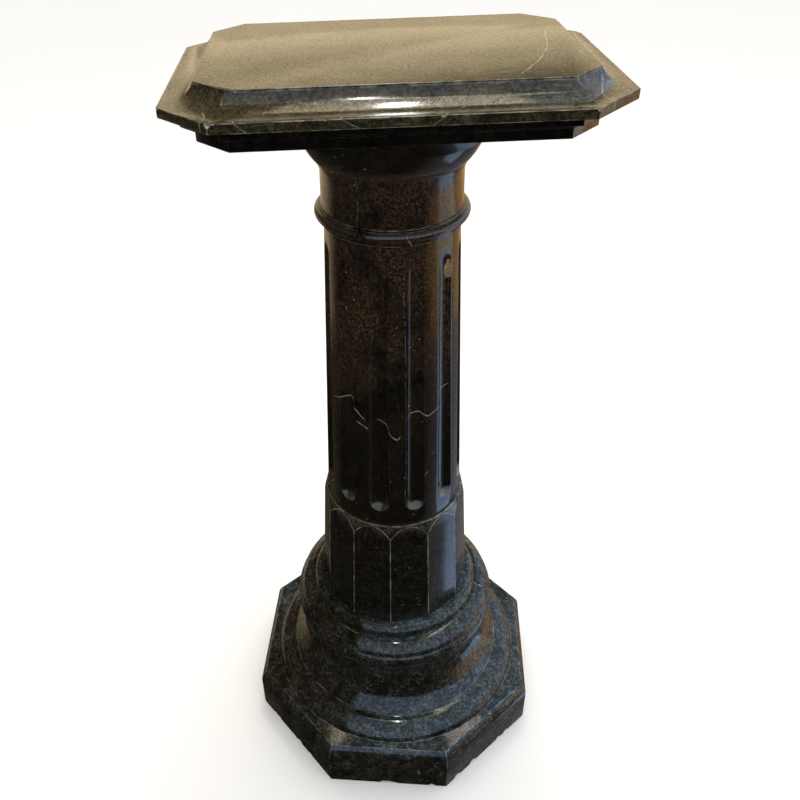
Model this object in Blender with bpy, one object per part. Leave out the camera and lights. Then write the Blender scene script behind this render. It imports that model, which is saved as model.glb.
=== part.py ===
"""Marble pedestal column: seven turned and cut stones stacked on one axis, in metres, +Z up."""
import bmesh
import bpy
from math import atan2, cos, pi, radians, sin
from mathutils import Matrix, Vector

# The column stands on the floor at z = 0 with its axis on x = y = 0; its front faces -Y.
# Stacking: each stone rests on the one below it, with a hair joint of this width.
joint_gap = 0.0003

# Plinth: an octagonal block with a turned hollow and roll in the same stone.
plinth_radius = 0.2349
plinth_face_height = 0.0613
plinth_block_height = 0.0816
plinth_edge_inset = 0.0098
plinth_edge_round = 0.0022
plinth_height = 0.1857
plinth_neck_radius = 0.1385
plinth_neck_height = 0.0060
scotia_foot_radius = 0.1670
scotia_foot_height = 0.1062
scotia_depth = 0.0090
scotia_fillet = 0.0020
roll_inner_radius = 0.1690
roll_outer_radius = 0.1978
roll_shoulder = 0.0220
roll_rise = 0.0052
roll_bed = 0.0120

# Base moulding: a turned ring with a small roll, a broad roll and a heavy lip, parted by sunk lines.
base_height = 0.0710
base_ledge_radius = 0.1174
small_roll_radius = 0.1266
small_roll_drop = 0.0121
small_roll_rise = 0.0024
quirk_depth = 0.0016
quirk_width = 0.0018
base_roll_radius = 0.1502
base_roll_drop = 0.0318
base_roll_rise = 0.0048
line_depth = 0.0010
line_width = 0.0014
lip_foot_radius = 0.1445
lip_foot_height = 0.0068
lip_rise = 0.0068
base_bed_radius = 0.1400

# Drum: twelve flat facets with a pencil-point top.
facet_count = 12
drum_height = 0.1878
drum_foot_radius = 0.1118
drum_top_radius = 0.1016
point_radius = 0.0976
cusp_drop = 0.0220

# Shaft: a plain taper with stopped flutes.
shaft_height = 0.4175
shaft_foot_radius = 0.0954
shaft_top_radius = 0.0802
flute_count = 12
land_width = 0.0205
flute_foot_margin = 0.0255
flute_top_margin = 0.0240
flute_foot_depth = 0.0088
flute_top_depth = 0.0066

# Capital: neck, bead, quarter round and bell, all turned from one stone.
bead_foot_radius = 0.0838
bead_foot_height = 0.0055
bead_root_radius = 0.0852
bead_height = 0.0110
bead_rise = 0.0056
neck_fillet_radius = 0.0845
neck_fillet_height = 0.0028
neck_foot_radius = 0.0825
neck_top_radius = 0.0818
neck_height = 0.0490
annulet_radius = 0.0840
annulet_height = 0.0050
echinus_foot_radius = 0.0852
echinus_top_radius = 0.1040
echinus_height = 0.0320
echinus_rise = 0.0024
bell_arris_radius = 0.1112
bell_arris_height = 0.0024
bell_height = 0.0229
bell_top_radius = 0.1180
bell_hollow = 0.0014

# Top slab and the abacus under it: rectangles with canted corners.
slab_width = 0.4571
slab_depth = 0.3248
slab_corner_cut = 0.0532
slab_thickness = 0.0289
slab_edge_height = 0.0100
slab_cove_width = 0.0345
slab_cove_hollow = 0.0058
slab_cove_step = 0.0020
abacus_height = 0.0285
abacus_fillet_inset = 0.0185
abacus_fillet_height = 0.0120
abacus_band_inset = 0.0312
abacus_cove_height = 0.0060
abacus_cove_hollow = 0.0016

# Turns about the axis: the base stones sit a few degrees off the line of the top.
base_turn = radians(-7.0)
shaft_turn = radians(-1.0)

# Fineness of the round work.
turned_steps = 48
shaft_steps = 60
flute_steps = 24
flute_rings = 9
arc_steps = 6
smooth_angle = radians(25.0)

# The marble, as base colour and roughness.
top_marble = ((0.075, 0.080, 0.058), 0.16)
column_marble = ((0.022, 0.024, 0.019), 0.12)
base_marble = ((0.024, 0.031, 0.033), 0.12)

# Beds of the stones, one on the next.
base_bed = plinth_height
drum_bed = base_bed + base_height
shaft_bed = drum_bed + drum_height
capital_bed = shaft_bed + shaft_height
bead_top = bead_foot_height + bead_height
neck_foot = bead_top + neck_fillet_height
neck_top = neck_foot + neck_height
echinus_foot = neck_top + annulet_height
echinus_top = echinus_foot + echinus_height
bell_arris = echinus_top + bell_arris_height
capital_height = bell_arris + bell_height
abacus_bed = capital_bed + capital_height
slab_bed = abacus_bed + abacus_height


def clear_scene():
    """Start from an empty scene."""
    for old in list(bpy.data.objects):
        bpy.data.objects.remove(old)


def arc(start, end, rise, steps=arc_steps):
    """Points on the circular arc from start to end; a positive rise swells to the left of the way."""
    chord = Vector(end) - Vector(start)
    half = chord.length / 2
    radius = (half * half + rise * rise) / (2 * rise)
    side = Vector((-chord.y, chord.x)).normalized()
    centre = (Vector(start) + Vector(end)) / 2 - side * (radius - rise)
    first = Vector(start) - centre
    turn = -4 * atan2(rise, half)
    points = []
    for k in range(steps + 1):
        spoke = Matrix.Rotation(turn * k / steps, 2) @ first
        points.append((centre.x + spoke.x, centre.y + spoke.y))
    return points


def marble(name, look):
    """A polished stone material."""
    colour, roughness = look
    material = bpy.data.materials.new(name)
    material.use_nodes = True
    shader = material.node_tree.nodes["Principled BSDF"]
    shader.inputs["Base Color"].default_value = (*colour, 1.0)
    shader.inputs["Roughness"].default_value = roughness
    shader.inputs["Metallic"].default_value = 0.0
    return material


def add_object(name, mesh, look, bed=0.0, turn=0.0):
    """Put a mesh in the scene as a named stone on its bed."""
    stone = bpy.data.objects.new(name, mesh)
    stone.location.z = bed
    stone.rotation_euler.z = turn
    if look:
        mesh.materials.append(marble(name + "_marble", look))
    bpy.context.scene.collection.objects.link(stone)
    return stone


def as_cutter(stone):
    """Show an object as a guide that only shapes others."""
    stone.hide_render = True
    stone.display_type = "WIRE"
    return stone


def boolean(stone, other, operation):
    """Shape a stone by another object."""
    modifier = stone.modifiers.new(other.name, "BOOLEAN")
    modifier.operation = operation
    modifier.object = other
    modifier.solver = "EXACT"


def turned(name, outline, look, bed=0.0, steps=turned_steps, turn=0.0):
    """Turn an outline of (radius, height) points, given top to bottom, about the axis."""
    mesh = bpy.data.meshes.new(name)
    points = [(0.0, outline[0][1])] + list(outline) + [(0.0, outline[-1][1])]
    edges = [(k, k + 1) for k in range(len(points) - 1)]
    mesh.from_pydata([(radius, 0.0, height) for radius, height in points], edges, [])
    stone = add_object(name, mesh, look, bed, turn)
    screw = stone.modifiers.new("turn", "SCREW")
    screw.axis = "Z"
    screw.steps = steps
    screw.render_steps = steps
    screw.use_merge_vertices = True
    screw.merge_threshold = 0.00001
    screw.use_smooth_shade = True
    return stone


def stacked(name, loops, look, bed=0.0, turn=0.0):
    """Join level loops of corners, given bottom to top, into one closed block."""
    bm = bmesh.new()
    rows = []
    for loop in loops:
        corners = [bm.verts.new(point) for point in loop]
        for k, corner in enumerate(corners):
            bm.edges.new((corners[k - 1], corner))
        rows.append(corners)
    for low, high in zip(rows, rows[1:]):
        for k in range(len(low)):
            bm.faces.new((low[k - 1], low[k], high[k], high[k - 1]))
    bm.faces.new(list(reversed(rows[0])))
    bm.faces.new(rows[-1])
    mesh = bpy.data.meshes.new(name)
    bm.to_mesh(mesh)
    bm.free()
    return add_object(name, mesh, look, bed, turn)


def polygon_loop(radius, count, height, first=0.0):
    """Corners of a regular polygon, turning left, the first one at the given angle from the front."""
    angles = [first - pi / 2 + 2 * pi * k / count for k in range(count)]
    return [(radius * cos(a), radius * sin(a), height) for a in angles]


def canted_loop(inset, height):
    """Corners of the slab's canted rectangle drawn in by an inset that is even on all eight sides."""
    x = slab_width / 2 - inset
    y = slab_depth / 2 - inset
    cut = slab_corner_cut - (2 - 2 ** 0.5) * inset
    return [(x - cut, -y, height), (x, cut - y, height), (x, y - cut, height), (x - cut, y, height),
            (cut - x, y, height), (-x, y - cut, height), (-x, cut - y, height), (cut - x, -y, height)]


def make_plinth():
    """The octagonal block with the hollow and the roll above it."""
    half_side = pi / 8
    edge = arc((plinth_radius, plinth_face_height),
               (plinth_radius - plinth_edge_inset, plinth_block_height), -plinth_edge_round, 3)
    loops = [polygon_loop(plinth_radius, 8, 0.0, half_side)]
    loops += [polygon_loop(radius, 8, height, half_side) for radius, height in edge]
    plinth = stacked("plinth", loops, base_marble, 0.0, base_turn)
    outline = [(plinth_neck_radius, plinth_height - joint_gap),
               (plinth_neck_radius, plinth_height - plinth_neck_height)]
    outline += arc(outline[-1], (scotia_foot_radius, scotia_foot_height), -scotia_depth)[1:]
    roll_top = plinth_block_height + roll_shoulder
    outline += [(scotia_foot_radius, scotia_foot_height - scotia_fillet)]
    outline += arc((roll_inner_radius, roll_top), (roll_outer_radius, plinth_block_height), roll_rise)
    outline += [(roll_outer_radius, plinth_block_height - roll_bed)]
    moulding = as_cutter(turned("plinth_moulding", outline, None, 0.0, turned_steps, base_turn))
    boolean(plinth, moulding, "UNION")


def make_base_moulding():
    """The ring under the drum."""
    top = base_height - joint_gap
    roll_head = (base_ledge_radius + quirk_width, top)
    roll_foot = (small_roll_radius, top - small_roll_drop)
    broad_head = (small_roll_radius + quirk_width, roll_foot[1] - quirk_width)
    broad_foot = (base_roll_radius, base_height - base_roll_drop)
    outline = [(base_ledge_radius, top), (base_ledge_radius + quirk_width / 2, top - quirk_depth)]
    outline += arc(roll_head, roll_foot, small_roll_rise)
    outline += [(small_roll_radius - quirk_depth / 2, roll_foot[1] - quirk_width)]
    outline += arc(broad_head, broad_foot, base_roll_rise)
    outline += [(base_roll_radius - line_depth, broad_foot[1] - line_width / 2)]
    outline += arc((base_roll_radius, broad_foot[1] - line_width), (lip_foot_radius, lip_foot_height), lip_rise, 8)
    outline += [(base_bed_radius, 0.0)]
    turned("base_moulding", outline, base_marble, base_bed, turned_steps, base_turn)


def make_drum():
    """The faceted drum, its top turned to a blunt point that leaves an arch on each facet."""
    top = drum_height - joint_gap
    drum = stacked("drum", [polygon_loop(drum_foot_radius, facet_count, 0.0),
                            polygon_loop(drum_top_radius, facet_count, top)], base_marble, drum_bed, base_turn)
    cusp_level = drum_height - cusp_drop
    cusp_radius = drum_foot_radius + (drum_top_radius - drum_foot_radius) * cusp_level / drum_height
    slope = (cusp_radius - point_radius) / cusp_drop
    reach = 3 * cusp_drop
    outline = [(point_radius - slope * joint_gap, drum_height + joint_gap),
               (point_radius + slope * reach, drum_height - reach),
               (point_radius + slope * reach, -joint_gap)]
    half_step = pi / (2 * turned_steps)
    point = as_cutter(turned("drum_point", outline, None, drum_bed, 2 * turned_steps, base_turn + half_step))
    boolean(drum, point, "INTERSECT")


def shaft_radius(height):
    """Radius of the tapered shaft at a height above its bed."""
    return shaft_foot_radius + (shaft_top_radius - shaft_foot_radius) * height / shaft_height


def flute_width(height):
    """Width that a flute has between lands of even width."""
    return 2 * pi * shaft_radius(height) / flute_count - land_width


def flute_end(edge_height, way, depth):
    """Centre and radius of the ball that cuts a flute's round end."""
    width = flute_width(edge_height)
    radius = (width * width / 4 + depth * depth) / (2 * depth)
    height = edge_height + way * width / 2
    return Vector((0.0, depth - radius - shaft_radius(height), height)), radius


def make_shaft():
    """The shaft with its stopped flutes, each cut by a ball drawn out along the taper."""
    outline = [(shaft_top_radius, shaft_height - joint_gap), (shaft_foot_radius, 0.0)]
    shaft = turned("shaft", outline, column_marble, shaft_bed, shaft_steps, shaft_turn)
    foot, foot_ball = flute_end(flute_foot_margin, 1, flute_foot_depth)
    head, head_ball = flute_end(shaft_height - flute_top_margin, -1, flute_top_depth)
    bm = bmesh.new()
    bmesh.ops.create_uvsphere(bm, u_segments=flute_steps, v_segments=flute_rings, radius=1.0)
    widest = cos(pi / 2 / flute_rings)
    for vert in bm.verts:
        centre, ball = (head, head_ball) if vert.co.z > 0 else (foot, foot_ball)
        vert.co = centre + vert.co * (ball / widest)
    first = pi / flute_count
    bmesh.ops.rotate(bm, verts=bm.verts, cent=(0, 0, 0), matrix=Matrix.Rotation(first, 3, "Z"))
    bmesh.ops.spin(bm, geom=bm.verts[:] + bm.edges[:] + bm.faces[:], cent=(0, 0, 0), axis=(0, 0, 1),
                   angle=2 * pi * (flute_count - 1) / flute_count, steps=flute_count - 1, use_duplicate=True)
    mesh = bpy.data.meshes.new("flutes")
    bm.to_mesh(mesh)
    bm.free()
    flutes = as_cutter(add_object("flutes", mesh, None, shaft_bed, shaft_turn))
    boolean(shaft, flutes, "DIFFERENCE")


def make_capital():
    """Neck with its bead below, and above it the annulet, the quarter round and the bell."""
    top = capital_height - joint_gap
    outline = arc((bell_top_radius, top), (bell_arris_radius, bell_arris), -bell_hollow, 4)
    outline += arc((echinus_top_radius, echinus_top), (echinus_foot_radius, echinus_foot), echinus_rise)
    outline += [(annulet_radius, echinus_foot - joint_gap), (annulet_radius, neck_top),
                (neck_top_radius, neck_top), (neck_foot_radius, neck_foot),
                (neck_fillet_radius, neck_foot), (neck_fillet_radius, bead_top)]
    outline += arc((bead_root_radius, bead_top), (bead_root_radius, bead_foot_height), bead_rise, 8)
    outline += [(bead_foot_radius, bead_foot_height), (bead_foot_radius, 0.0)]
    turned("capital", outline, column_marble, capital_bed)


def make_abacus():
    """The stone under the top slab: a band, a small hollow and a wider fillet."""
    top = abacus_height - joint_gap
    fillet_foot = abacus_height - abacus_fillet_height
    profile = [(abacus_band_inset, 0.0)]
    profile += arc((abacus_band_inset, fillet_foot - abacus_cove_height),
                   (abacus_fillet_inset, fillet_foot), -abacus_cove_hollow, 4)
    profile += [(abacus_fillet_inset, top)]
    stacked("abacus", [canted_loop(inset, height) for inset, height in profile], top_marble, abacus_bed)


def make_top_slab():
    """The top slab with a hollow worked all round its upper edge."""
    profile = [(0.0, 0.0)]
    profile += arc((0.0, slab_edge_height),
                   (slab_cove_width, slab_thickness - slab_cove_step), -slab_cove_hollow)
    profile += [(slab_cove_width, slab_thickness)]
    stacked("top_slab", [canted_loop(inset, height) for inset, height in profile], top_marble, slab_bed)


def smooth_round_work():
    """Shade the turned and cut surfaces smooth up to their arrises."""
    for stone in bpy.context.scene.objects:
        stone.data.shade_smooth()
        stone.data.set_sharp_from_angle(angle=smooth_angle)


clear_scene()
make_plinth()
make_base_moulding()
make_drum()
make_shaft()
make_capital()
make_abacus()
make_top_slab()
smooth_round_work()
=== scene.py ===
"""The looks of a marble pedestal column: seven polished stones on one axis, in metres, +Z up."""
from math import atan2, cos, pi, radians, sin
from random import Random

import bpy
from mathutils import Matrix, Vector


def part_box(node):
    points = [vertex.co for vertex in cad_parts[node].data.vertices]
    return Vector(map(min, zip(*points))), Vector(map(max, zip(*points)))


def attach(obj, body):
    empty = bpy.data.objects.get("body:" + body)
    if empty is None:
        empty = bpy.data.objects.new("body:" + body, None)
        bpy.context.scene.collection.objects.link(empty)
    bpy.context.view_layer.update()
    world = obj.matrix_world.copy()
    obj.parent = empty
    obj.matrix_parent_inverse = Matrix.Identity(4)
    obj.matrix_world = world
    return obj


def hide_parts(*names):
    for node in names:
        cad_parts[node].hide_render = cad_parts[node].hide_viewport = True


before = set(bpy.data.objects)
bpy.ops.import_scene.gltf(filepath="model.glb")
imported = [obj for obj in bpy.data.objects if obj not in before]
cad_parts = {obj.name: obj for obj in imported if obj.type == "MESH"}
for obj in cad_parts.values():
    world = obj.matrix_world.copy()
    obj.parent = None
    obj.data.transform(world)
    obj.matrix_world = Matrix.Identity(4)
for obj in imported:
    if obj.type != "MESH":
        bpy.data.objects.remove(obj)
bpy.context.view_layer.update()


# Plinth
# The foot of the column is one octagonal block of dark green marble, with a hollow and a broad roll
# turned in the same stone above it. It is polished all over and stands loose on the floor, with its
# front a few degrees off square; the foot arris is knocked all round.

base_turn = radians(-7.0)
round_steps = 240
arc_steps = 12
arris_width = 0.0006
smooth_below = 32
broken_slot, rubbed_slot, slot_count = 1, 2, 3


def bed_and_height(node):
    """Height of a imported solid's underside above the floor, and how tall the solid is."""
    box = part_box(node)
    return box[0].z, box[1].z - box[0].z


def arc(start, end, rise, steps=arc_steps):
    """Points on the circular arc from start to end; a positive rise swells to the left."""
    chord = Vector(end) - Vector(start)
    half = chord.length / 2
    radius = (half * half + rise * rise) / (2 * rise)
    side = Vector((-chord.y, chord.x)).normalized()
    centre = (Vector(start) + Vector(end)) / 2 - side * (radius - rise)
    first = Vector(start) - centre
    turn = -4 * atan2(rise, half)
    points = []
    for k in range(steps + 1):
        spoke = Matrix.Rotation(turn * k / steps, 2) @ first
        points.append((centre.x + spoke.x, centre.y + spoke.y))
    return points


def start_stone(name, add, **sizes):
    """Add a primitive with nothing else selected, name it and put its place in its mesh."""
    bpy.ops.object.select_all(action="DESELECT")
    add(**sizes)
    stone = bpy.context.object
    stone.name = stone.data.name = name
    bpy.ops.object.transform_apply(location=True, rotation=True, scale=True)
    return stone


def turn_outline(name, outline, bed, turn=0.0):
    """Draw an outline of (radius, height) points, top to bottom, and spin it about the axis."""
    points = [(0.0, outline[0][1])] + list(outline) + [(0.0, outline[-1][1])]
    stone = start_stone(name, bpy.ops.mesh.primitive_plane_add, size=0.001,
                        location=(0, 0, bed + points[0][1]))
    bpy.ops.object.mode_set(mode="EDIT")
    bpy.ops.mesh.select_all(action="SELECT")
    bpy.ops.mesh.merge(type="CENTER")
    for here, there in zip(points, points[1:]):
        move = (there[0] - here[0], 0.0, there[1] - here[1])
        bpy.ops.mesh.extrude_region_move(TRANSFORM_OT_translate={"value": move})
    bpy.ops.mesh.select_all(action="SELECT")
    bpy.ops.mesh.spin(steps=round_steps, angle=2 * pi, center=(0, 0, 0), axis=(0, 0, 1))
    bpy.ops.mesh.select_all(action="SELECT")
    bpy.ops.mesh.remove_doubles(threshold=0.00002)
    bpy.ops.mesh.normals_make_consistent(inside=False)
    bpy.ops.object.mode_set(mode="OBJECT")
    stone.rotation_euler.z = turn
    bpy.ops.object.transform_apply(rotation=True)
    return stone


def apply_modifier(stone, kind, **settings):
    """Add a modifier with its settings and apply it."""
    bpy.ops.object.select_all(action="DESELECT")
    stone.select_set(True)
    bpy.context.view_layer.objects.active = stone
    modifier = stone.modifiers.new(kind.lower(), kind)
    for setting, value in settings.items():
        setattr(modifier, setting, value)
    bpy.ops.object.modifier_apply(modifier=modifier.name)


def cut(stone, cutter, operation="DIFFERENCE", overlapping=False):
    """Shape a stone by another object, which is used up."""
    apply_modifier(stone, "BOOLEAN", operation=operation, object=cutter, solver="EXACT",
                   use_self=overlapping)
    bpy.data.objects.remove(cutter)


def ease_arrises(stone, width=arris_width, sharp_above=28, smooth=smooth_below):
    """Rub the sharp edges down to a small round, and shade smooth between them."""
    while len(stone.data.materials) < slot_count:
        stone.data.materials.append(None)
    apply_modifier(stone, "BEVEL", width=width, segments=3, limit_method="ANGLE",
                   angle_limit=radians(sharp_above), use_clamp_overlap=True, harden_normals=False,
                   material=rubbed_slot)
    bpy.ops.object.shade_smooth_by_angle(angle=radians(smooth))


class Wire:
    """A value in a material. Sums of wires add Math nodes, and node() adds any other node."""

    def __init__(self, tree, socket):
        self.tree, self.socket = tree, socket

    def node(self, kind, values=None, output=0, curve=None, **settings):
        """Add a node: its settings first, then a value or a wire for each of its sockets."""
        made = self.tree.nodes.new("ShaderNode" + kind)
        for setting, value in settings.items():
            setattr(made, setting, value)
        if curve:
            line = made.mapping.curves[0]
            while len(line.points) < len(curve):
                line.points.new(0.5, 0.5)
            for point, place in zip(line.points, curve):
                point.location = place
                point.handle_type = "VECTOR"
            made.mapping.update()
        for socket, value in (values or {}).items():
            if isinstance(value, Wire):
                self.tree.links.new(value.socket, made.inputs[socket])
            else:
                made.inputs[socket].default_value = value
        return Wire(self.tree, made.outputs[output])

    def maths(self, operation, first, second=0.0):
        return self.node("Math", {0: first, 1: second}, operation=operation)

    def __add__(self, other):
        return self.maths("ADD", self, other)

    def __radd__(self, other):
        return self.maths("ADD", other, self)

    def __sub__(self, other):
        return self.maths("SUBTRACT", self, other)

    def __rsub__(self, other):
        return self.maths("SUBTRACT", other, self)

    def __mul__(self, other):
        return self.maths("MULTIPLY", self, other)

    def __rmul__(self, other):
        return self.maths("MULTIPLY", other, self)

    def __truediv__(self, other):
        return self.maths("DIVIDE", self, other)

    def __abs__(self):
        return self.maths("ABSOLUTE", self)

    def over(self, other):
        """The greater of two values."""
        return self.maths("MAXIMUM", self, other)

    def part(self, axis):
        """The X, Y or Z of a vector."""
        return self.node("SeparateXYZ", {0: self}, output=axis)

    def facing(self, direction):
        """How far a vector points in a direction."""
        return self.node("VectorMath", {0: self, 1: direction}, output="Value",
                         operation="DOT_PRODUCT")

    def step(self, low, high):
        """0 below low and 1 above high, with a soft rise; the other way round if high is lower."""
        if high < low:
            return 1 - self.step(high, low)
        return self.node("MapRange", {0: self, 1: low, 2: high}, interpolation_type="SMOOTHSTEP")

    def mix(self, first, second):
        """Go from one colour to another as this value goes from 0 to 1."""
        colours = {6: first, 7: second}
        for socket, colour in colours.items():
            if not isinstance(colour, Wire):
                colours[socket] = (*colour, 1.0)
        return self.node("Mix", {0: self, **colours}, output=2, data_type="RGBA")

    def noise(self, scale, detail=4.0, roughness=0.5, distortion=0.0, shift=0.0):
        """Cloudy noise at this vector; the shift takes it from another part of the same stone."""
        moved = self.node("VectorMath", {0: self, 1: (shift, -shift, shift)}, operation="ADD")
        return self.node("TexNoise", {"Vector": moved, "Scale": scale, "Detail": detail,
                                      "Roughness": roughness, "Distortion": distortion})

    def specks(self, scale, edge, core):
        """Round specks, 1 inside the core distance and 0 past the edge, as shares of a cell."""
        cells = self.node("TexVoronoi", {"Vector": self, "Scale": scale}, output="Distance")
        return cells.step(edge, core)

    def bump(self, height, strength, distance):
        """The surface normal, tilted by a height."""
        return self.node("Bump", {"Strength": strength, "Distance": distance, "Height": height})


def start_material(name):
    """A new material: the wire of its object coordinates, and its shader."""
    material = bpy.data.materials.new(name)
    material.use_nodes = True
    tree = material.node_tree
    shader = tree.nodes["Principled BSDF"]
    place = Wire(tree, None).node("TexCoord", output="Object")
    return material, place, shader


def join(wire, shader, socket):
    """Lead a wire into one of the shader's sockets."""
    wire.tree.links.new(wire.socket, shader.inputs[socket])


def marble(name, shift, dark, patch, cloud, vein, patch_share=0.5, dust_and_sheen_share=0.12, placed_veins=None,
           fade=None, scratched=False, even=0.5, fine=190.0):
    """Polished marble: dark ground, warm patches, crumbly mottling, fine pits and broken veins.

    The patches fade out from the second of the fade heights to the first. Even is the least share
    of polish, and fine is the number of crumbs in a metre.
    """
    material, place, shader = start_material(name)

    # ground, patches and mottling
    drawn = place.node("Mapping", {"Vector": place, "Scale": (1.0, 1.0, 0.5)})
    patches = drawn.noise(24.0, 6.0, 0.66, 0.15, shift)
    patches = patches.step(0.60 - 0.3 * patch_share, 0.72 - 0.2 * patch_share)
    if fade:
        patches = patches * (0.15 + 0.85 * place.part("Z").step(*fade))
    crumbs = place.noise(fine, 5.0, 0.85, 0.0, shift).step(0.45, 0.58)
    grit = place.noise(2.3 * fine, 4.0, 0.8, 0.0, shift + 1.0).step(0.44, 0.58)
    mottle = place.noise(60.0, 8.0, 0.70, 0.4, shift).step(0.40, 0.64)
    colour = (patches * (0.12 + 0.88 * crumbs)).mix(dark, patch)
    colour = (mottle * (0.06 + 0.94 * grit * crumbs)).mix(colour, cloud)

    # dark pits and pale flecks
    pit_share = place.noise(22.0, 2.0, 0.5, 0.0, shift + 3.0).step(0.48, 0.60)
    pit = place.specks(210.0, 0.26, 0.14) * pit_share
    colour = (pit * 0.85).mix(colour, (0.006, 0.003, 0.002))
    fleck_share = place.noise(17.0, 1.0, 0.5, 0.0, shift + 7.0).step(0.54, 0.60)
    fleck = place.specks(95.0, 0.085, 0.045)
    colour = (fleck * fleck_share * 0.5).mix(colour, vein)

    # veins on the edges of large jagged cells, and those that have a place of their own
    jag = place.node("VectorMath", {0: place, 1: place.noise(60.0, 2.0) * 0.012}, operation="ADD")
    web = jag.node("TexVoronoi", {"Vector": jag, "Scale": 6.0}, feature="DISTANCE_TO_EDGE")
    web_share = place.noise(11.0, 3.0, 0.6, 0.0, shift + 5.0).step(0.60, 0.68)
    veins = web.step(0.005, 0.0015) * web_share * (0.15 + 0.5 * crumbs)
    if placed_veins:
        veins = veins.over(placed_veins(place) * (0.35 + 0.55 * crumbs))
    colour = veins.mix(colour, vein)

    # dust on what faces up, also a painted warm highlight in the shaft's scooped flute feet; smears
    # and scratches
    up = place.node("NewGeometry", output="Normal").part("Z")
    dust_and_sheen = up.step(0.1, 0.8) * place.noise(28.0, 5.0, 0.6, 0.0, shift + 2.0).step(0.30, 0.66)
    colour = (dust_and_sheen * dust_and_sheen_share).mix(colour, (0.26, 0.20, 0.13))
    smear = place.noise(11.0, 5.0, 0.6, 0.8, shift + 4.0).step(0.42, 0.70)
    rough = 0.07 + 0.08 * smear + 0.5 * dust_and_sheen_share * dust_and_sheen + 0.25 * pit
    if scratched:
        share = place.noise(13.0, 3.0, 0.6, 0.0, shift + 6.0).step(0.48, 0.62)
        for turn, stretch in ((0.9, 22.0), (-0.75, 30.0), (2.1, 26.0)):
            along = place.node("Mapping", {"Vector": place, "Rotation": (0, 0, turn),
                                           "Scale": (stretch, 420.0, 60.0)})
            scratch = along.noise(1.0, 2.0, 0.5, 0.9, shift).step(0.65, 0.70) * share
            colour = (scratch * 0.14).mix(colour, vein)
            rough = rough + 0.15 * scratch

    join(colour, shader, "Base Color")
    join(rough, shader, "Roughness")
    shader.inputs["Specular IOR Level"].default_value = 0.12
    shader.inputs["Coat IOR"].default_value = 1.72
    shader.inputs["Coat Roughness"].default_value = 0.07 + 0.5 * dust_and_sheen_share * (1 if scratched else 0.3)
    grain = (0.5 * crumbs + 0.5 * grit) * (1 - 0.5 * mottle) + 0.3 * mottle
    join(even + (1 - even) * grain, shader, "Coat Weight")
    relief = 0.05 * crumbs + 0.8 * place.noise(12.0, 2.0, 0.5) - pit - 0.35 * veins
    join(place.bump(relief, 0.25, 0.0006), shader, "Normal")
    return material


def rub(name, shift, stone, pale, limit=None):
    """The worn skin of an arris: the same stone, scuffed pale in stretches up to a height limit."""
    material, place, shader = start_material(name)
    wear = place.noise(60.0, 6.0, 0.7, 0.0, shift).step(0.38, 0.66)
    if limit:
        wear = wear * place.part("Z").step(limit, limit - 0.001)
    join(wear.mix(stone, pale), shader, "Base Color")
    join(0.18 + 0.25 * wear, shader, "Roughness")
    return material


def broken_marble(name, shift, pale):
    """Fresh broken marble: pale, dry and grainy."""
    material, place, shader = start_material(name)
    grain = place.noise(420.0, 6.0, 0.7, 0.0, shift)
    shade = tuple(0.35 * c for c in pale)
    join(grain.step(0.35, 0.68).mix(shade, pale), shader, "Base Color")
    join(0.45 + 0.3 * grain, shader, "Roughness")
    join(place.bump(grain, 0.6, 0.0005), shader, "Normal")
    return material


def knock(stone, places, seed):
    """Knock small shells out of a stone at (x, y, z, size) places, which leaves broken faces."""
    shells = None
    for x, y, z, size in places:
        shell = start_stone("shell", bpy.ops.mesh.primitive_ico_sphere_add, subdivisions=2,
                            radius=size, location=(x, y, z))
        if shells:
            shells.select_set(True)
            bpy.context.view_layer.objects.active = shells
            bpy.ops.object.join()
        shells = shells or shell
    bpy.ops.object.mode_set(mode="EDIT")
    bpy.ops.mesh.select_all(action="SELECT")
    bpy.ops.transform.vertex_random(offset=0.3 * min(place[3] for place in places), uniform=1.0,
                                    normal=0.0, seed=seed)
    bpy.ops.object.mode_set(mode="OBJECT")
    for slot in range(slot_count):
        shells.data.materials.append(None)
    for face in shells.data.polygons:
        face.material_index = broken_slot
    cut(stone, shells, overlapping=True)
    bpy.ops.object.shade_smooth_by_angle(angle=radians(smooth_below))


def dress(stone, node, materials):
    """Give a stone its face, broken and rubbed materials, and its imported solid's place."""
    for slot, material in enumerate(materials):
        stone.data.materials[slot] = material
    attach(stone, "root")
    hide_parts(node)


side_count = 8
nicks_on_a_side = 5
plinth_radius = 0.2349
plinth_face_height = 0.0613
plinth_block_height = 0.0816
plinth_top = bed_and_height("plinth")[1]
apothem = cos(pi / side_count)

plinth = start_stone("plinth_stone", bpy.ops.mesh.primitive_cylinder_add, vertices=side_count,
                     radius=plinth_radius, depth=plinth_face_height,
                     location=(0, 0, plinth_face_height / 2),
                     rotation=(0, 0, pi / side_count + base_turn))
bpy.ops.object.mode_set(mode="EDIT")
bpy.ops.mesh.select_all(action="DESELECT")
bpy.ops.object.mode_set(mode="OBJECT")
for face in plinth.data.polygons:
    face.select = face.normal.z > 0.9
bpy.ops.object.mode_set(mode="EDIT")
edge = arc((plinth_radius, plinth_face_height), (plinth_radius - 0.0098, plinth_block_height),
           -0.0022, 6)
for low, high in zip(edge, edge[1:]):
    bpy.ops.mesh.inset(thickness=(low[0] - high[0]) * apothem, depth=high[1] - low[1],
                       use_even_offset=True)
bpy.ops.object.mode_set(mode="OBJECT")

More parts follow.
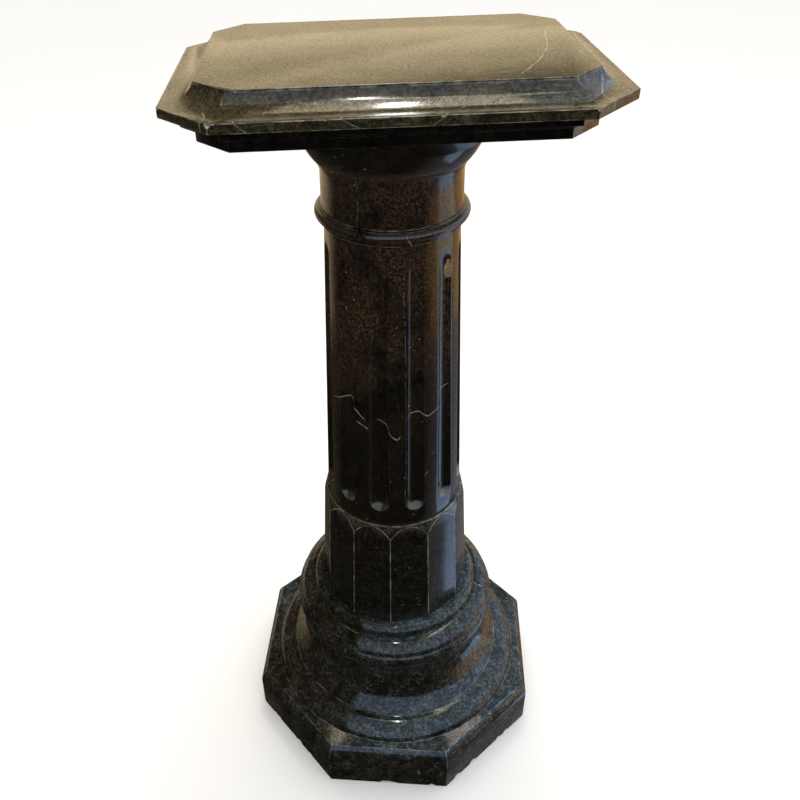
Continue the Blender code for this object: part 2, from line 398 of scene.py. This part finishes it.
throat_radius, throat_foot = 0.1385, 0.1797
hollow_foot_radius, hollow_foot = 0.1670, 0.1062
roll_radius = 0.1978
outline = [(throat_radius, plinth_top), (throat_radius, throat_foot)]
outline += arc(outline[-1], (hollow_foot_radius, hollow_foot), -0.0090, 20)[1:]
outline += [(hollow_foot_radius, hollow_foot - 0.0020)]
outline += arc((hollow_foot_radius + 0.0020, plinth_block_height + 0.0220),
               (roll_radius, plinth_block_height), 0.0052, 16)
outline += [(roll_radius, plinth_block_height - 0.0120)]
cut(plinth, turn_outline("plinth_moulding", outline, 0.0, base_turn), "UNION")
ease_arrises(plinth)

chance = Random(11)
side_angle = 2 * pi / side_count
nicks = []
for side in range(side_count):
    turns = [side_angle * (side + chance.uniform(-0.9, 0.9) / 2) for nick in range(nicks_on_a_side)]
    for turn in turns:
        reach = plinth_radius * apothem / cos(turn - round(turn / side_angle) * side_angle)
        angle = turn + base_turn
        nicks.append((reach * sin(angle), -reach * cos(angle), 0.0, chance.uniform(0.003, 0.0075)))
knock(plinth, nicks, 3)

base_green = marble("base_green_marble", shift=0.7, dark=(0.0015, 0.0018, 0.0015),
                    patch=(0.022, 0.017, 0.009), cloud=(0.060, 0.068, 0.062),
                    vein=(0.42, 0.42, 0.38), patch_share=0.9, dust_and_sheen_share=0.02, even=0.12)
base_break = broken_marble("base_broken_marble", 0.7, (0.20, 0.20, 0.18))
base_rub = rub("base_rubbed_marble", 0.7, (0.006, 0.007, 0.006), (0.10, 0.10, 0.085))
dress(plinth, "plinth", [base_green, base_break, base_rub])


# Base moulding
# A turned ring of the same marble lies on the plinth: a small roll, a broad roll and a heavy lip,
# with sunk lines between them. It is one stone, bedded dry.

ring_bed, ring_top = bed_and_height("base_moulding")
small_roll_foot = ring_top - 0.0139
lip_radius, lip_top = 0.1502, 0.0392
line_depth = 0.0007
outline = [(0.1174, ring_top), (0.1183, ring_top - 0.0016)]
outline += arc((0.1192, ring_top), (0.1266, ring_top - 0.0121), 0.0024)
outline += [(0.1258, small_roll_foot)]
outline += arc((0.1284, small_roll_foot), (lip_radius, lip_top), 0.0048)
outline += [(lip_radius - 0.0010, lip_top - line_depth)]
outline += arc((lip_radius, lip_top - 2 * line_depth), (0.1445, 0.0068), 0.0068, 18)
outline += [(0.1400, 0.0)]
ring = turn_outline("base_moulding_stone", outline, ring_bed, base_turn)
ease_arrises(ring, 0.0003)
dress(ring, "base_moulding", [base_green, base_break, base_rub])


# Drum
# A twelve-sided drum of near-black marble with flat polished facets. Its top was turned to a blunt
# point, which leaves an arch at the head of each facet, and its arrises are worn pale.

drum_foot_radius, drum_head_radius, point_radius = 0.1118, 0.1016, 0.0976
drum_height = 0.1878
cusp_drop = 0.0220
point_drop = 0.066
overlap = 0.001
drum_bed, drum_top = bed_and_height("drum")
drum = start_stone("drum_stone", bpy.ops.mesh.primitive_cone_add, vertices=12,
                   radius1=drum_foot_radius, radius2=drum_head_radius, depth=drum_top,
                   location=(0, 0, drum_bed + drum_top / 2), rotation=(0, 0, base_turn))
taper = (drum_head_radius - drum_foot_radius) / drum_height
cusp_radius = drum_foot_radius + taper * (drum_height - cusp_drop)
slope = (cusp_radius - point_radius) / cusp_drop
outline = [(point_radius - slope * overlap, drum_height + overlap),
           (point_radius + slope * point_drop, drum_height - point_drop),
           (point_radius + slope * point_drop, -overlap)]
cut(drum, turn_outline("drum_point", outline, drum_bed, base_turn + pi / round_steps), "INTERSECT")
ease_arrises(drum, 0.0006, sharp_above=7, smooth=13)
drum_marble = marble("drum_marble", shift=2.1, dark=(0.0012, 0.0013, 0.0010),
                     patch=(0.070, 0.050, 0.030), cloud=(0.020, 0.024, 0.022),
                     vein=(0.40, 0.38, 0.33), patch_share=1.0, dust_and_sheen_share=0.2,
                     fade=(drum_bed + 0.164, drum_bed + 0.184))
drum_rub = rub("drum_rubbed_marble", 2.1, (0.03, 0.028, 0.024), (0.24, 0.21, 0.17))
dress(drum, "drum", [drum_marble, base_break, drum_rub])


# Shaft
# The tapered shaft has twelve stopped flutes with round scooped ends, cut in one dark stone with
# brown patches, and polished. A pale broken vein crosses its front, and one flute is chipped at its
# head.

shaft_height = 0.4175
shaft_bed, shaft_top = bed_and_height("shaft")
foot_radius, head_radius = 0.0954, 0.0802
flute_count = 12
land_width = 0.0205
flute_foot, flute_foot_depth = 0.0255, 0.0088
flute_head, flute_head_depth = shaft_height - 0.0240, 0.0066
shaft_turn = radians(-1.0)
shaft = start_stone("shaft_stone", bpy.ops.mesh.primitive_cone_add, vertices=round_steps,
                    radius1=foot_radius, radius2=head_radius, depth=shaft_top,
                    location=(0, 0, shaft_bed + shaft_top / 2))


def shaft_radius(height):
    """Radius of the tapered shaft at a height above its bed."""
    return foot_radius + (head_radius - foot_radius) * height / shaft_height


def flute_end(edge_height, way, depth):
    """Centre and radius of the ball that cuts a flute's round end."""
    width = 2 * pi * shaft_radius(edge_height) / flute_count - land_width
    radius = (width * width / 4 + depth * depth) / (2 * depth)
    height = edge_height + way * width / 2
    return Vector((0.0, depth - radius - shaft_radius(height), shaft_bed + height)), radius


ball_rings = 33
flutes = start_stone("flutes", bpy.ops.mesh.primitive_uv_sphere_add, segments=64,
                     ring_count=ball_rings, radius=1.0)
lower = [vert.co.z < 0 for vert in flutes.data.vertices]
for at_foot, (centre, radius) in ((True, flute_end(flute_foot, 1, flute_foot_depth)),
                                  (False, flute_end(flute_head, -1, flute_head_depth))):
    bpy.ops.object.mode_set(mode="EDIT")
    bpy.ops.mesh.select_all(action="DESELECT")
    bpy.ops.object.mode_set(mode="OBJECT")
    for vert, low in zip(flutes.data.vertices, lower):
        vert.select = low == at_foot
    bpy.ops.object.mode_set(mode="EDIT")
    size = radius / cos(pi / (2 * ball_rings))
    bpy.ops.transform.resize(value=(size, size, size), center_override=(0, 0, 0))
    bpy.ops.transform.translate(value=centre)
bpy.ops.mesh.select_all(action="SELECT")
bpy.ops.transform.rotate(value=-pi / flute_count - shaft_turn, orient_axis="Z",
                         center_override=(0, 0, 0))
bpy.ops.mesh.spin(steps=flute_count - 1, dupli=True, angle=2 * pi * (flute_count - 1) / flute_count,
                  center=(0, 0, 0), axis=(0, 0, 1))
bpy.ops.object.mode_set(mode="OBJECT")
cut(shaft, flutes)
ease_arrises(shaft, 0.0005, sharp_above=24)
chip_turn = radians(51.0)
chip_x, chip_y = 0.0805 * sin(chip_turn), -0.0805 * cos(chip_turn)
chip_shells = [(0.378, 0.0050), (0.372, 0.0062), (0.366, 0.0072)]
knock(shaft, [(chip_x, chip_y, shaft_bed + height, size) for height, size in chip_shells], 5)

# veins across as (degrees round from the front, height), and upright as (height, degrees)
shaft_veins = [[(-62, 0.6315), (-57, 0.6344), (-45.4, 0.6427), (-35.1, 0.6295), (-27.7, 0.6179)],
               [(-35.2, 0.6136), (-25.1, 0.6063)],
               [(-18.2, 0.6185), (-10, 0.6139), (-6, 0.5983), (-1.2, 0.5934), (2, 0.5979)],
               [(6.1, 0.6178), (11.1, 0.6273), (18.9, 0.6289), (25.3, 0.6223), (33.3, 0.6264),
                (45, 0.6482), (50.7, 0.6523)]]
upright_veins = [[(0.490, 5.1), (0.542, 6.8), (0.592, 6.9), (0.655, 6.2), (0.713, 6.3),
                  (0.755, 5.6), (0.795, 4.9), (0.835, 5.0)],
                 [(0.872, -30.5), (0.890, -31.2), (0.905, -30.1), (0.925, -30.9), (0.940, -30.4)],
                 [(0.872, 36.4), (0.895, 35.5), (0.915, 35.6), (0.932, 36.4), (0.948, 36.9)]]


def vein_line(along, across, points, width):
    """One vein: across follows the points over along, and the line fades at both ends."""
    start, end = points[0][0], points[-1][0]
    low = min(point[1] for point in points)
    span = max(point[1] for point in points) - low
    share = (along - start) / (end - start)
    path = share.node("FloatCurve", {"Factor": 1.0, "Value": share},
                      curve=[((a - start) / (end - start), (c - low) / span) for a, c in points])
    line = abs(across - (path * span + low)).step(width, 0.3 * width)
    return line * share.step(-0.02, 0.04) * share.step(1.02, 0.96)


def column_veins(place):
    """The veins that show on the front of the shaft and the neck."""
    height = place.part("Z") + (place.noise(160.0, 3.0) - 0.5) * 0.003
    angle = place.maths("ARCTAN2", place.part("X"), 0 - place.part("Y")) * (180 / pi)
    angle = angle + (place.noise(130.0, 3.0) - 0.5) * 1.6
    gaps = place.noise(190.0, 2.0).step(0.4, 0.6)
    lines = 0.0
    for points in shaft_veins:
        lines = vein_line(angle, height, points, 0.0007).over(lines)
    for points in upright_veins:
        lines = (vein_line(height, angle, points, 0.40) * gaps * 0.3).over(lines)
    return lines


# the high dust share paints tan on what faces up: real dust, and a painted warm highlight in the
# scooped flute feet
shaft_marble = marble("shaft_marble", shift=4.4, dark=(0.0018, 0.0019, 0.0013),
                      patch=(0.056, 0.031, 0.015), cloud=(0.018, 0.019, 0.013),
                      vein=(0.45, 0.42, 0.36), patch_share=1.0, dust_and_sheen_share=0.35,
                      placed_veins=column_veins, fade=(0.56, 0.74), fine=280.0)
shaft_break = broken_marble("shaft_broken_marble", 4.4, (0.50, 0.31, 0.15))
shaft_rub = rub("shaft_rubbed_marble", 4.4, (0.02, 0.017, 0.013), (0.22, 0.19, 0.15))
dress(shaft, "shaft", [shaft_marble, shaft_break, shaft_rub])


# Capital
# Neck, bead, quarter round and bell are turned in one stone, with fine fillets between them. The
# bell hides its upper edge under the abacus.

capital_bed, capital_top = bed_and_height("capital")
bead_foot, bead_top, bead_radius = 0.0055, 0.0165, 0.0852
neck_foot = 0.0193
neck_top = neck_foot + 0.0490
echinus_foot = neck_top + 0.0050
echinus_top = echinus_foot + 0.0320
outline = arc((0.1180, capital_top), (0.1112, echinus_top + 0.0024), -0.0014)
outline += arc((0.1040, echinus_top), (0.0852, echinus_foot), 0.0024, 16)
outline += [(0.0840, echinus_foot), (0.0840, neck_top), (0.0818, neck_top), (0.0825, neck_foot),
            (0.0845, neck_foot), (0.0845, bead_top)]
outline += arc((bead_radius, bead_top), (bead_radius, bead_foot), 0.0056, 18)
outline += [(0.0838, bead_foot), (0.0838, 0.0)]
capital = turn_outline("capital_stone", outline, capital_bed)
ease_arrises(capital, 0.0003)
capital_marble = marble("capital_marble", shift=6.2, dark=(0.0018, 0.0019, 0.0013),
                        patch=(0.050, 0.029, 0.015), cloud=(0.018, 0.019, 0.013),
                        vein=(0.45, 0.42, 0.36), patch_share=1.0, dust_and_sheen_share=0.3,
                        placed_veins=column_veins, fade=(0.954, 0.940), fine=280.0)
capital_rub = rub("capital_rubbed_marble", 6.2, (0.010, 0.009, 0.007), (0.34, 0.31, 0.26),
                  capital_bed + neck_foot + 0.004)
dress(capital, "capital", [capital_marble, shaft_break, capital_rub])


# Abacus
# The canted stone under the top: a plain band, a small hollow and a wider fillet above it. It is
# polished black marble, and the slab hides it from above.

slab_width, slab_depth, corner_cut = 0.4571, 0.3248, 0.0532


def canted_block(name, profile, bed):
    """Build a canted rectangle along a profile of (inset, height) points, from its widest end."""
    first = profile[0][0]
    stone = start_stone(name, bpy.ops.mesh.primitive_circle_add, vertices=8, radius=1.0,
                        fill_type="NGON", location=(0, 0, bed + profile[0][1]))
    x, y = slab_width / 2 - first, slab_depth / 2 - first
    notch = corner_cut - (2 - 2 ** 0.5) * first
    corners = [(x - notch, -y), (x, notch - y), (x, y - notch), (x - notch, y),
               (notch - x, y), (-x, y - notch), (-x, notch - y), (notch - x, -y)]
    rim = sorted(stone.data.vertices, key=lambda vert: atan2(vert.co.y, vert.co.x))
    for vert, corner in zip(rim, sorted(corners, key=lambda place: atan2(place[1], place[0]))):
        vert.co.x, vert.co.y = corner
    way = 1 if profile[-1][1] > profile[0][1] else -1
    bpy.ops.object.mode_set(mode="EDIT")
    bpy.ops.mesh.select_all(action="SELECT")
    height = profile[1][1] - profile[0][1]
    bpy.ops.mesh.extrude_region_move(TRANSFORM_OT_translate={"value": (0, 0, height)})
    bpy.ops.mesh.select_all(action="SELECT")
    bpy.ops.mesh.normals_make_consistent(inside=False)
    bpy.ops.mesh.select_all(action="DESELECT")
    bpy.ops.object.mode_set(mode="OBJECT")
    for face in stone.data.polygons:
        face.select = face.normal.z * way > 0.9
    bpy.ops.object.mode_set(mode="EDIT")
    for here, there in zip(profile[1:], profile[2:]):
        inset, height = there[0] - here[0], there[1] - here[1]
        if inset < 1e-6:
            bpy.ops.mesh.extrude_region_move(TRANSFORM_OT_translate={"value": (0, 0, height)})
        else:
            bpy.ops.mesh.inset(thickness=inset, depth=way * height, use_even_offset=True)
    bpy.ops.object.mode_set(mode="OBJECT")
    return stone


abacus_bed, abacus_top = bed_and_height("abacus")
fillet_inset, band_inset = 0.0185, 0.0312
fillet_foot = 0.0165
profile = [(fillet_inset, abacus_top)]
profile += arc((fillet_inset, fillet_foot), (band_inset, fillet_foot - 0.0060), 0.0016, 8)
profile += [(band_inset, 0.0)]
abacus = canted_block("abacus_stone", profile, abacus_bed)
ease_arrises(abacus, 0.0005)
abacus_marble = marble("abacus_marble", shift=5.2, dark=(0.0012, 0.0013, 0.0010),
                       patch=(0.008, 0.006, 0.004), cloud=(0.012, 0.013, 0.010),
                       vein=(0.40, 0.38, 0.33), patch_share=0.6, dust_and_sheen_share=0.1)
abacus_rub = rub("abacus_rubbed_marble", 5.2, (0.002, 0.002, 0.002), (0.012, 0.011, 0.009))
dress(abacus, "abacus", [abacus_marble, base_break, abacus_rub])


# Top slab
# The top is a canted slab with a hollow worked all round its upper edge, in a lighter olive marble
# with dark specks. It lies loose on the abacus, its face rubbed dull and its arrises chipped.

slab_bed = bed_and_height("top_slab")[0]
edge_height, hollow_inset, face_height = 0.0100, 0.0345, 0.0289
profile = [(0.0, 0.0)]
profile += arc((0.0, edge_height), (hollow_inset, face_height - 0.0020), -0.0058, 14)
profile += [(hollow_inset, face_height)]
slab = canted_block("top_slab_stone", profile, slab_bed)
ease_arrises(slab, 0.0008)
edge_level = slab_bed + edge_height
knock(slab, [(-0.1754, -0.1624, edge_level, 0.0040), (-0.1700, -0.1640, edge_level + 0.001, 0.0028),
             (-0.2286, -0.1092, edge_level, 0.0030), (0.1754, -0.1630, edge_level, 0.0026),
             (0.2290, 0.1100, edge_level, 0.0040), (0.2297, 0.0600, edge_level, 0.0032),
             (-0.0700, -0.1632, edge_level, 0.0018), (0.0350, -0.1634, edge_level, 0.0024),
             (0.0560, -0.1632, edge_level, 0.0016), (-0.1500, -0.1280, slab_bed + 0.0290, 0.0022),
             (-0.1200, 0.1632, edge_level, 0.0030), (0.0900, 0.1634, edge_level, 0.0036)], 9)

# veins on the face as (north, east), and on the front edge as (east, lean)
top_lines = [[(-0.117, 0.110), (-0.070, 0.139), (-0.017, 0.159), (0.045, 0.170)],
             [(-0.158, -0.184), (-0.147, -0.179), (-0.134, -0.181)],
             [(-0.160, 0.202), (-0.128, 0.186), (-0.100, 0.193)]]
edge_lines = [(-0.1527, 1.24), (-0.0574, 1.76), (0.0400, -1.50)]


def top_veins(place):
    """The veins that run back over the slab, and three that cross its front edge."""
    east = place.part("X") + (place.noise(120.0, 3.0) - 0.5) * 0.004
    north = place.part("Y")
    height = place.part("Z")
    on_edge = north.step(-0.155, -0.158)
    lines = 0.0
    for points in top_lines:
        lines = (vein_line(north, east, points, 0.0009) * 0.5).over(lines)
    for x, lean in edge_lines:
        slant = abs(east - x - (slab_bed + 0.0105 - height) * lean).step(0.0008, 0.0003)
        lines = (slant * on_edge * 0.5).over(lines)
    return lines


top_marble = marble("top_marble", shift=8.3, dark=(0.006, 0.006, 0.004),
                    patch=(0.048, 0.038, 0.017), cloud=(0.038, 0.035, 0.020),
                    vein=(0.50, 0.47, 0.38), patch_share=1.0, dust_and_sheen_share=0.10, placed_veins=top_veins,
                    scratched=True, even=0.15, fine=300.0)
top_break = broken_marble("top_broken_marble", 8.3, (0.32, 0.30, 0.24))
top_rub = rub("top_rubbed_marble", 8.3, (0.02, 0.018, 0.012), (0.19, 0.17, 0.12))
dress(slab, "top_slab", [top_marble, top_break, top_rub])


# Studio
# A plain pale floor, two suns, three soft boxes and a plain room that only the polish reflects. The
# camera stands at the photograph's place.

floor = start_stone("floor", bpy.ops.mesh.primitive_plane_add, size=60.0)
floor_white, place, shader = start_material("pale_floor")
join(place.noise(0.7, 2.0).mix((0.80, 0.80, 0.80), (0.84, 0.84, 0.84)), shader, "Base Color")
shader.inputs["Roughness"].default_value = 0.7
floor.data.materials.append(floor_white)
floor.visible_glossy = False

warm_white = (1.0, 0.97, 0.92)
lamp_height = 2.59


def softbox(name, place, aim, width, height, power, colour=warm_white):
    """An area light at a place, turned towards a point."""
    way = (Vector(aim) - Vector(place)).to_track_quat("-Z", "Y").to_euler()
    bpy.ops.object.light_add(type="AREA", location=place, rotation=way)
    lamp = bpy.context.object
    lamp.name = name
    lamp.data.shape = "RECTANGLE"
    lamp.data.size, lamp.data.size_y = width, height
    lamp.data.energy = power
    lamp.data.color = colour


def sun(name, place, turn, power, colour, spread):
    """A sun that the polish doesn't reflect, its light spread over an angle."""
    bpy.ops.object.light_add(type="SUN", location=place, rotation=turn)
    lamp = bpy.context.object
    lamp.name = name
    lamp.data.energy = power
    lamp.data.color = colour
    lamp.data.angle = radians(spread)
    lamp.visible_glossy = False
    return lamp


softbox("ceiling_box", (0.15, 0.45, 2.6), (0.15, 0.45, 0.0), 1.3, 1.3, 16, (1.0, 0.86, 0.62))
softbox("front_lamp", (0.01, -0.323, lamp_height), (0.01, -0.32, 1.0), 0.06, 0.30, 3.5)
softbox("back_lamp", (0.125, 0.575, lamp_height), (0.125, 0.57, 1.0), 0.14, 0.50, 13)
way = Vector((-0.335, -0.11, -1.0)).to_track_quat("-Z", "Y").to_euler()
window_light = sun("window_light", (1, 0.3, 3), way, 8.0, (0.36, 0.64, 1.0), 7)
sun("soft_sun", (0, 1, 3), (radians(-15), radians(6), 0), 2.9, (1.0, 0.95, 0.86), 110)
below_top = bpy.data.collections.new("below_top")
for stone in (plinth, ring, drum, shaft, capital):
    below_top.objects.link(stone)
window_light.light_linking.receiver_collection = below_top

world = bpy.data.worlds.new("studio")
bpy.context.scene.world = world
world.use_nodes = True
way = Wire(world.node_tree, None).node("TexCoord", output="Generated")
east, north, rise = way.part("X"), way.part("Y"), way.part("Z")
window = way.facing((0.766, -0.61, 0.20)).step(-0.01, 0.03)
behind = way.facing((0.5, 0.85, 0.2))
dark = (0.015, 0.013, 0.010)

# above the horizon: warm light behind, the window on the right, and dark elsewhere
glow = behind.step(-0.05, 0.12) * rise.step(0.60, 0.35) * east.step(-0.60, -0.35)
above = glow.mix(dark, (1.02, 0.82, 0.50))
window_colour = rise.step(0.45, 0.75).mix((0.60, 0.82, 1.18), (0.42, 0.55, 0.70))
above = (window * rise.step(0.02, 0.10)).mix(above, window_colour)

# below it: the two side walls, and a low pane whose edge leans
steep = rise.step(-0.42, -0.50)
left_wall = steep.mix((0.56, 0.44, 0.27), (0.05, 0.04, 0.028))
right_wall = steep.mix((0.60, 0.34, 0.15), (0.17, 0.16, 0.17))
walls = east.step(0.0, 0.3).mix(left_wall, right_wall)
below = behind.step(-0.35, 0.15).mix(dark, walls)
turn = east.maths("ARCTAN2", north, east)
pane = turn.step(0.38, 0.34) * (turn - rise * -0.386).step(-0.434, -0.422)
pane = pane * rise.step(-0.80, -0.77)
below = pane.mix(below, steep.mix((0.95, 0.76, 0.56), (0.60, 0.84, 1.25)))

seen = rise.step(-0.03, 0.03).mix(below, above)
soft = window.mix((0.18, 0.15, 0.11), (0.42, 0.50, 0.62))
glossy = way.node("LightPath", output="Is Glossy Ray")
camera_ray = way.node("LightPath", output="Is Camera Ray")
background = world.node_tree.nodes["Background"]
join(camera_ray.mix(glossy.mix(soft, seen), (0.92, 0.92, 0.92)), background, "Color")
background.inputs["Strength"].default_value = 1.0
bpy.context.scene.view_settings.view_transform = "Standard"

bpy.ops.object.camera_add()
camera = bpy.context.object
camera.matrix_world = (Matrix.Translation((-0.06180, -0.87508, 1.26955))
                       @ Matrix.Rotation(radians(-1.4579), 4, "Z")
                       @ Matrix.Rotation(radians(90 - 35.2491), 4, "X")
                       @ Matrix.Rotation(radians(-1.8409), 4, "Z"))
camera.data.sensor_width = 36.0
camera.data.lens = 36.645
camera.data.shift_x, camera.data.shift_y = 0.04616, -0.04564
bpy.context.scene.camera = camera
